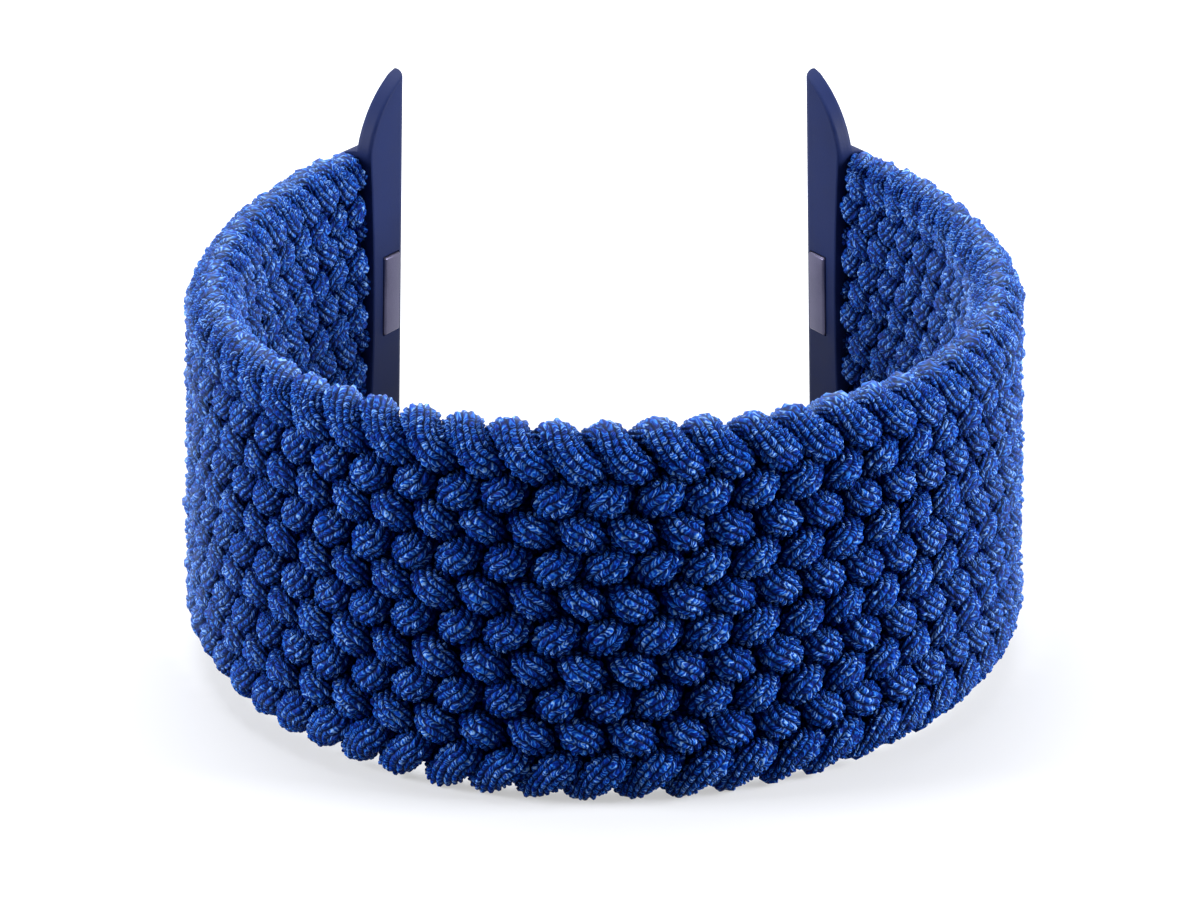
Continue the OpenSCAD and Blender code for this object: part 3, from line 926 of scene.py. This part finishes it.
def grained(name, dark, light, rough, metal, grain, depth, streak=(1, 1, 1)):
    """A finish with a fine grain: grain is its size in mm, depth the height of its bump in
    mm, and streak stretches it along the strap's axes."""
    material, tree, output = new_material(name)
    place = node(tree, "ShaderNodeTexCoord").outputs["Object"]
    fitted = node(tree, "ShaderNodeMapping", Vector=place, Scale=streak).outputs[0]
    fine = node(tree, "ShaderNodeTexNoise", Vector=fitted, Scale=1 / (grain * MM), Detail=3.0)
    broad = node(tree, "ShaderNodeTexNoise", Vector=place, Scale=1 / (CLOUD_SIZE * MM), Detail=3.0)
    cloud = node(tree, "ShaderNodeMix", {"data_type": "FLOAT"}, Factor=CLOUD_PART)
    tree.links.new(broad.outputs["Fac"], cloud.inputs[2])
    tree.links.new(fine.outputs["Fac"], cloud.inputs[3])
    tint = ramp(tree, cloud.outputs[0], [(CLOUD_LOW, dark), (CLOUD_HIGH, light)])
    dull = node(tree, "ShaderNodeMapRange", Value=cloud.outputs[0], From_Min=CLOUD_LOW,
                From_Max=CLOUD_HIGH, To_Min=rough - ROUGH_SPREAD, To_Max=rough + ROUGH_SPREAD)
    bump = node(tree, "ShaderNodeBump",
                Height=fine.outputs["Fac"], Strength=0.5, Distance=depth * MM)
    shader = node(tree, "ShaderNodeBsdfPrincipled", Base_Color=tint, Roughness=dull.outputs[0],
                  Metallic=metal, Specular_IOR_Level=SATIN, IOR=METAL_IOR if metal else NYLON_IOR,
                  Normal=bump.outputs[0])
    tree.links.new(shader.outputs[0], output.inputs["Surface"])
    return material


plastic = grained("moulded glass-filled nylon", "0f1a40", "16224b", 0.55, 0.0, 0.09, 0.012)
blasted = grained("bead-blasted stainless steel", "4c4b60", "625f78", 0.38, 1.0, 0.07, 0.010)
drawn = grained("drawn stainless wire", "a8a8aa", "c4c4c6", 0.28, 1.0, 0.05, 0.004, (1, 1, 0.05))
melted = grained("melted and pressed nylon", "0d2450", "15356e", 0.35, 0.0, 0.15, 0.02)
for piece in lugs:
    piece.data.materials.append(plastic)
for piece in latches:
    piece.data.materials.append(blasted)
for piece in springs:
    piece.data.materials.append(drawn)
for side, word in sides:
    for part, finish in (("latch_pin", drawn), ("tabs", melted)):
        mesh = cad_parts[f"{word}_{part}"].data
        mesh.materials.clear()
        mesh.materials.append(finish)

# %% [markdown]
# ## Floor and light
# The strap stands on a white sweep in a white room, under one large soft light overhead,
# a little behind it, and two at its sides. The floor is matt grey and adds a white glow of
# its own for the camera, so that it reads as white paper. The glow is weaker near the
# strap than far out, so that the strap's shadow still shows there, and this weaker glow is
# also painted shade round the strap. The glow and the room's full white are only seen,
# straight or in a reflection. They light nothing, as they would wash out the dark of the
# braid.

# %% Floor and light
FLOOR_SIZE = 4  # in metres
STRAP = (0, 0, 10)  # what the lamps are turned to
SKY_LIGHT = 0.24  # strength of the room as a light, where it is seen at 1
# painted shade: the glow is weaker near the strap, which darkens the floor round it
GLOW_NEAR, GLOW_FAR = 0.49, 0.95  # strength of the floor's glow
NEAR, FAR = 40, 120  # from the strap's middle, between which the glow grows, in mm


def seen_directly(tree):
    """1 for rays from the camera and for mirror and glass rays, 0 for the light's bounces."""
    path = node(tree, "ShaderNodeLightPath").outputs
    first = calc(tree, "MAXIMUM", path["Is Camera Ray"], path["Is Glossy Ray"])
    return calc(tree, "MAXIMUM", first, path["Is Transmission Ray"])


bpy.ops.mesh.primitive_plane_add(size=FLOOR_SIZE)
floor = bpy.context.object
floor.name = "floor"
paper, tree, output = new_material("white paper sweep")
matt = node(tree, "ShaderNodeBsdfDiffuse", Color=colour("96989d"))
spot = node(tree, "ShaderNodeTexCoord").outputs["Object"]
away = node(tree, "ShaderNodeVectorMath", {"operation": "LENGTH"}, in_0=spot).outputs["Value"]
# painted shade round the strap: less glow near it than far out
white = fade(tree, away, NEAR * MM, FAR * MM, To_Min=GLOW_NEAR, To_Max=GLOW_FAR)
own_light = calc(tree, "MULTIPLY", seen_directly(tree), white)
glow = node(tree, "ShaderNodeEmission", Color=(1, 1, 1, 1), Strength=own_light)
both = node(tree, "ShaderNodeAddShader", in_0=matt.outputs[0], in_1=glow.outputs[0])
tree.links.new(both.outputs[0], output.inputs["Surface"])
floor.data.materials.append(paper)

world = bpy.data.worlds.new("white studio")
bpy.context.scene.world = world
world.use_nodes = True
tree = world.node_tree
tree.nodes.clear()
strength = node(tree, "ShaderNodeMapRange",
                Value=seen_directly(tree), To_Min=SKY_LIGHT, To_Max=1.0)
sky = node(tree, "ShaderNodeBackground", Color=(1, 1, 1, 1), Strength=strength.outputs[0])
tree.links.new(sky.outputs[0], node(tree, "ShaderNodeOutputWorld").inputs["Surface"])


def softbox(name, place, aim, size, power):
    """A square area lamp of that size at place, turned to aim, all in mm. Its power is in
    watts."""
    lamp = bpy.data.lights.new(name, "AREA")
    lamp.size, lamp.energy = size * MM, power
    box = bpy.data.objects.new(name, lamp)
    bpy.context.scene.collection.objects.link(box)
    place, aim = np.array(place, float) * MM, np.array(aim, float) * MM
    box.location = place
    box.rotation_euler = Vector(aim - place).to_track_quat("-Z", "Y").to_euler()


softbox("overhead", place=(-30, 110, 330), aim=STRAP, size=240, power=1.6)
softbox("left", place=(-320, -50, 130), aim=STRAP, size=130, power=1.9)
softbox("right", place=(330, -50, 130), aim=STRAP, size=150, power=2.7)

# %% [markdown]
# ## Camera
# The camera stands in front of the strap and looks down on it through a long lens. Its
# place, its tilt and its focal length were fitted to the outline of the real loop.

# %% Camera
PICTURE_W = 1200  # pixels
FOCAL = 3800  # in pixels
SHIFT = -4.5  # pixels by which the picture is off the lens's axis
SENSOR = 36  # width of the camera's sensor, in mm
CAMERA_BACK, CAMERA_UP = 175.42, 65.42  # from the middle of the strap's footprint, in mm
CAMERA_DOWN = radians(17.72)  # by which it looks down
CLIP_FROM, CLIP_TO = 0.01, 20  # what the camera sees, in metres
camera_data = bpy.data.cameras.new("camera")
camera_data.sensor_width = SENSOR
camera_data.lens = SENSOR * FOCAL / PICTURE_W
camera_data.shift_x = SHIFT / PICTURE_W
camera_data.clip_start, camera_data.clip_end = CLIP_FROM, CLIP_TO
camera = bpy.data.objects.new("camera", camera_data)
bpy.context.scene.collection.objects.link(camera)
camera.location = (0, -CAMERA_BACK * MM, CAMERA_UP * MM)
camera.rotation_euler = (pi / 2 - CAMERA_DOWN, 0, 0)
bpy.context.scene.camera = camera
bpy.context.scene.view_settings.view_transform = "Standard"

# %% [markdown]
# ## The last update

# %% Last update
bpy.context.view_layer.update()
